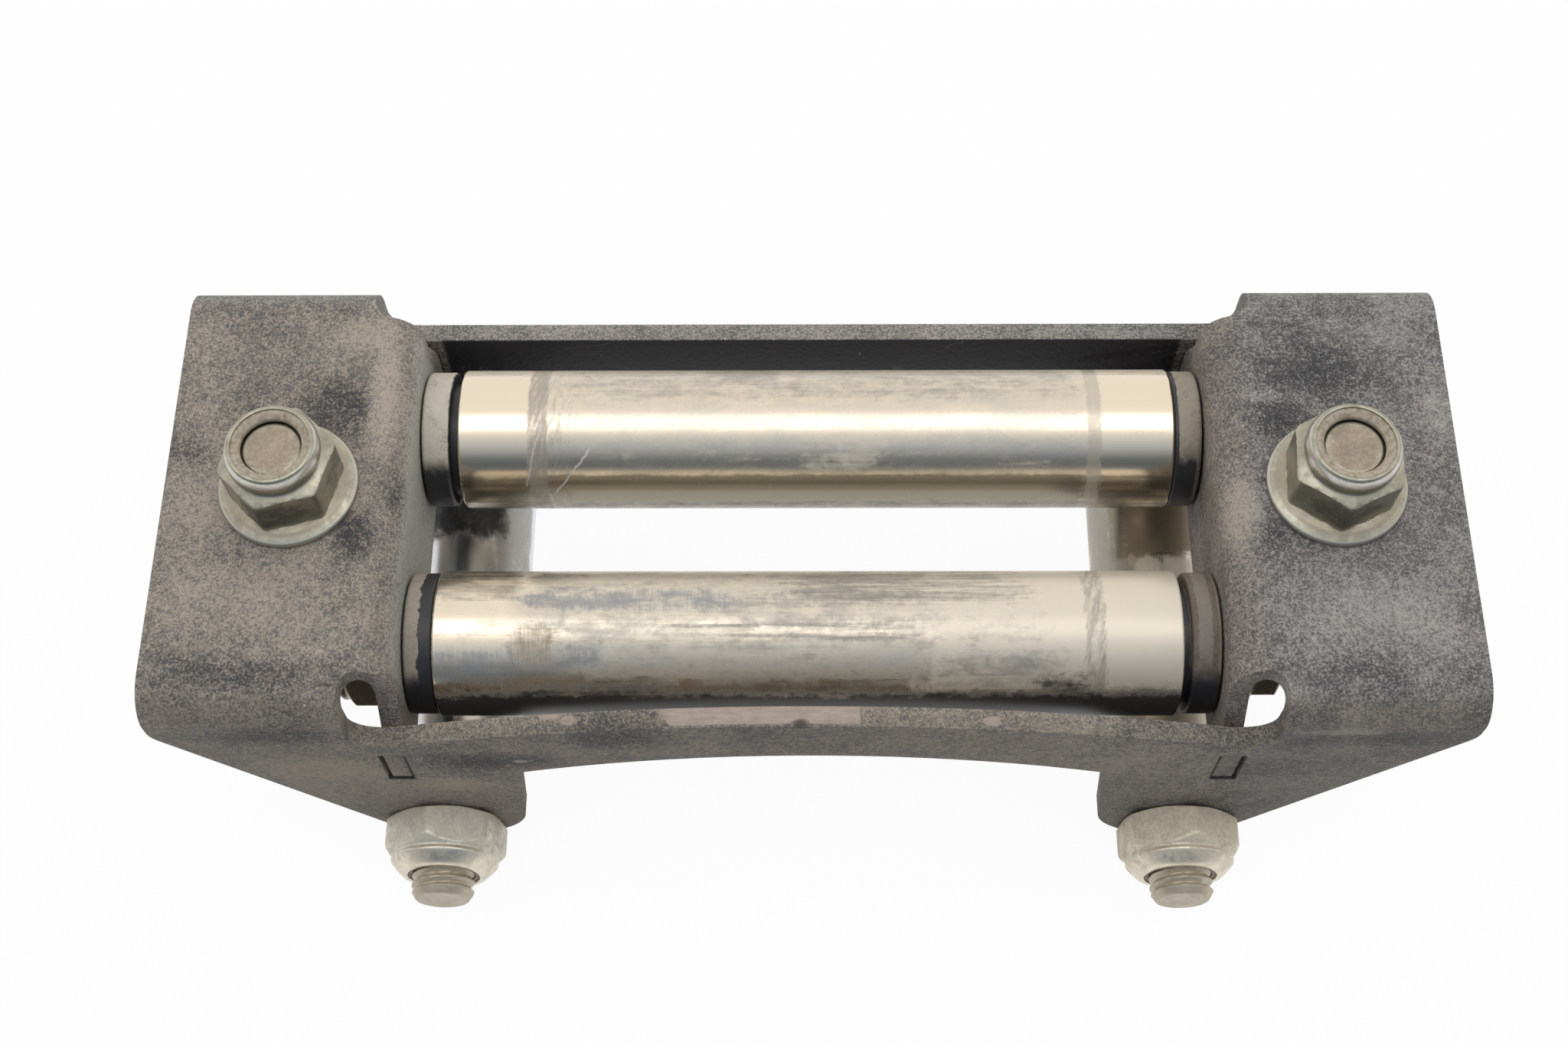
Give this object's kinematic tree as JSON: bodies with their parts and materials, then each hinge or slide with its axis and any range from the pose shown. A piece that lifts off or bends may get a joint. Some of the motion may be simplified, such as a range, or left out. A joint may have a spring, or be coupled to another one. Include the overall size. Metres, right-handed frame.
{
  "type": "roller fairlead",
  "caption": "Winch roller fairlead: bent sheet-steel frame with level and upright steel rollers on bolt axles, fixed by a mounting bolt and flange nut at each end.",
  "frame": {"origin": "midway between the two mounting bolts, on the rear plane of the front plates", "axes": "+X along the level rollers, +Y towards the top flange with the upright bolts' heads, +Z out of the front, the way the rope leaves"},
  "size_m": [0.189, 0.0903, 0.0708],
  "materials": {
    "coat": "worn, dusty matt black powder coat",
    "roller_zinc": "scuffed yellowish zinc plating",
    "bush_plastic": "dusty black plastic",
    "bright_zinc": "bright zinc plating with dust",
    "dull_zinc": "dull dusty zinc plating",
    "nylon": "dusty nylon"
  },
  "bodies": {
    "frame_body": {"frame": "coat", "upper_axle": "bright_zinc", "upper_nut": "bright_zinc", "upper_insert": "nylon", "lower_axle": "bright_zinc", "lower_nut": "bright_zinc", "lower_insert": "nylon", "left_axle": "bright_zinc", "left_nut": "bright_zinc", "left_insert": "nylon", "right_axle": "bright_zinc", "right_nut": "bright_zinc", "right_insert": "nylon", "left_mount_bolt": "dull_zinc", "left_mount_nut": "dull_zinc", "left_mount_insert": "nylon", "right_mount_bolt": "dull_zinc", "right_mount_nut": "dull_zinc", "right_mount_insert": "nylon"},
    "upper_roller": {"upper_tube": "roller_zinc", "upper_bush_left": "bush_plastic", "upper_bush_right": "bush_plastic"},
    "lower_roller": {"lower_tube": "roller_zinc", "lower_bush_left": "bush_plastic", "lower_bush_right": "bush_plastic"},
    "left_roller": {"left_tube": "roller_zinc", "left_bush_top": "bush_plastic", "left_bush_bottom": "bush_plastic"},
    "right_roller": {"right_tube": "roller_zinc", "right_bush_top": "bush_plastic", "right_bush_bottom": "bush_plastic"}
  },
  "joints": [
    {"name": "upper_spin", "type": "hinge", "parent": "frame_body", "child": "upper_roller", "pos_m": [0, 0.01735, -0.0149], "axis": [1, 0, 0], "continuous": true},
    {"name": "lower_spin", "type": "hinge", "parent": "frame_body", "child": "lower_roller", "pos_m": [0, -0.01735, -0.0149], "axis": [1, 0, 0], "continuous": true},
    {"name": "left_spin", "type": "hinge", "parent": "frame_body", "child": "left_roller", "pos_m": [-0.0575, 0, -0.044], "axis": [0, 1, 0], "continuous": true},
    {"name": "right_spin", "type": "hinge", "parent": "frame_body", "child": "right_roller", "pos_m": [0.0575, 0, -0.044], "axis": [0, 1, 0], "continuous": true}
  ]
}
